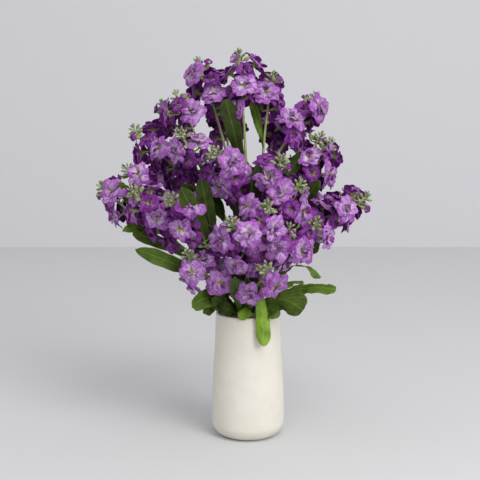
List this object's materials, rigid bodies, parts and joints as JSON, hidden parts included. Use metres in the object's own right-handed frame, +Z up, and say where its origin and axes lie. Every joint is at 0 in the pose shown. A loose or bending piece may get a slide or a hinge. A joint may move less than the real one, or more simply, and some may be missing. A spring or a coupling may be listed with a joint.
{
  "type": "stock flowers in vase",
  "caption": "Cut stems of double purple stock, with wavy leaves and green bud tips, standing in water in a plain round cream ceramic vase.",
  "frame": {"origin": "centre of the vase's flat foot, on the surface it stands on", "axes": "+Z up along the vase's axis, +X to the right and -Y to the front as the picture shows it"},
  "size_m": [0.3314, 0.2608, 0.4778],
  "materials": {
    "vase": "matte bisque, very fine grain",
    "water": "clear still water",
    "petal": "soft satin petals, paler middle and deeper edges",
    "stem": "waxy green, slightly downy leaves"
  },
  "bodies": {
    "root": {"vase": "vase", "water": "water", "florets_front_1": "petal", "florets_front_2": "petal", "florets_front_3": "petal", "florets_front_left_1": "petal", "florets_front_left_2": "petal", "florets_front_left_3": "petal", "florets_left_1": "petal", "florets_left_2": "petal", "florets_left_3": "petal", "florets_left_back_1": "petal", "florets_left_back_2": "petal", "florets_back_1": "petal", "florets_back_2": "petal", "florets_back_right_1": "petal", "florets_back_right_2": "petal", "florets_right_1": "petal", "florets_right_2": "petal", "florets_right_3": "petal", "florets_front_right_1": "petal", "florets_front_right_2": "petal", "florets_front_right_3": "petal", "florets_top_left_1": "petal", "florets_top_left_2": "petal", "florets_top_left_3": "petal", "florets_top_left_4": "petal", "florets_top_1": "petal", "florets_top_2": "petal", "florets_top_right_1": "petal", "florets_top_right_2": "petal", "florets_top_right_3": "petal", "florets_top_right_4": "petal", "florets_top_front_1": "petal", "florets_top_front_2": "petal", "florets_top_front_3": "petal", "stem_front": "stem", "stem_front_left": "stem", "stem_left": "stem", "stem_left_back": "stem", "stem_back": "stem", "stem_back_right": "stem", "stem_right": "stem", "stem_front_right": "stem", "stem_top_left": "stem", "stem_top": "stem", "stem_top_right": "stem", "stem_top_front": "stem"}
  },
  "joints": []
}
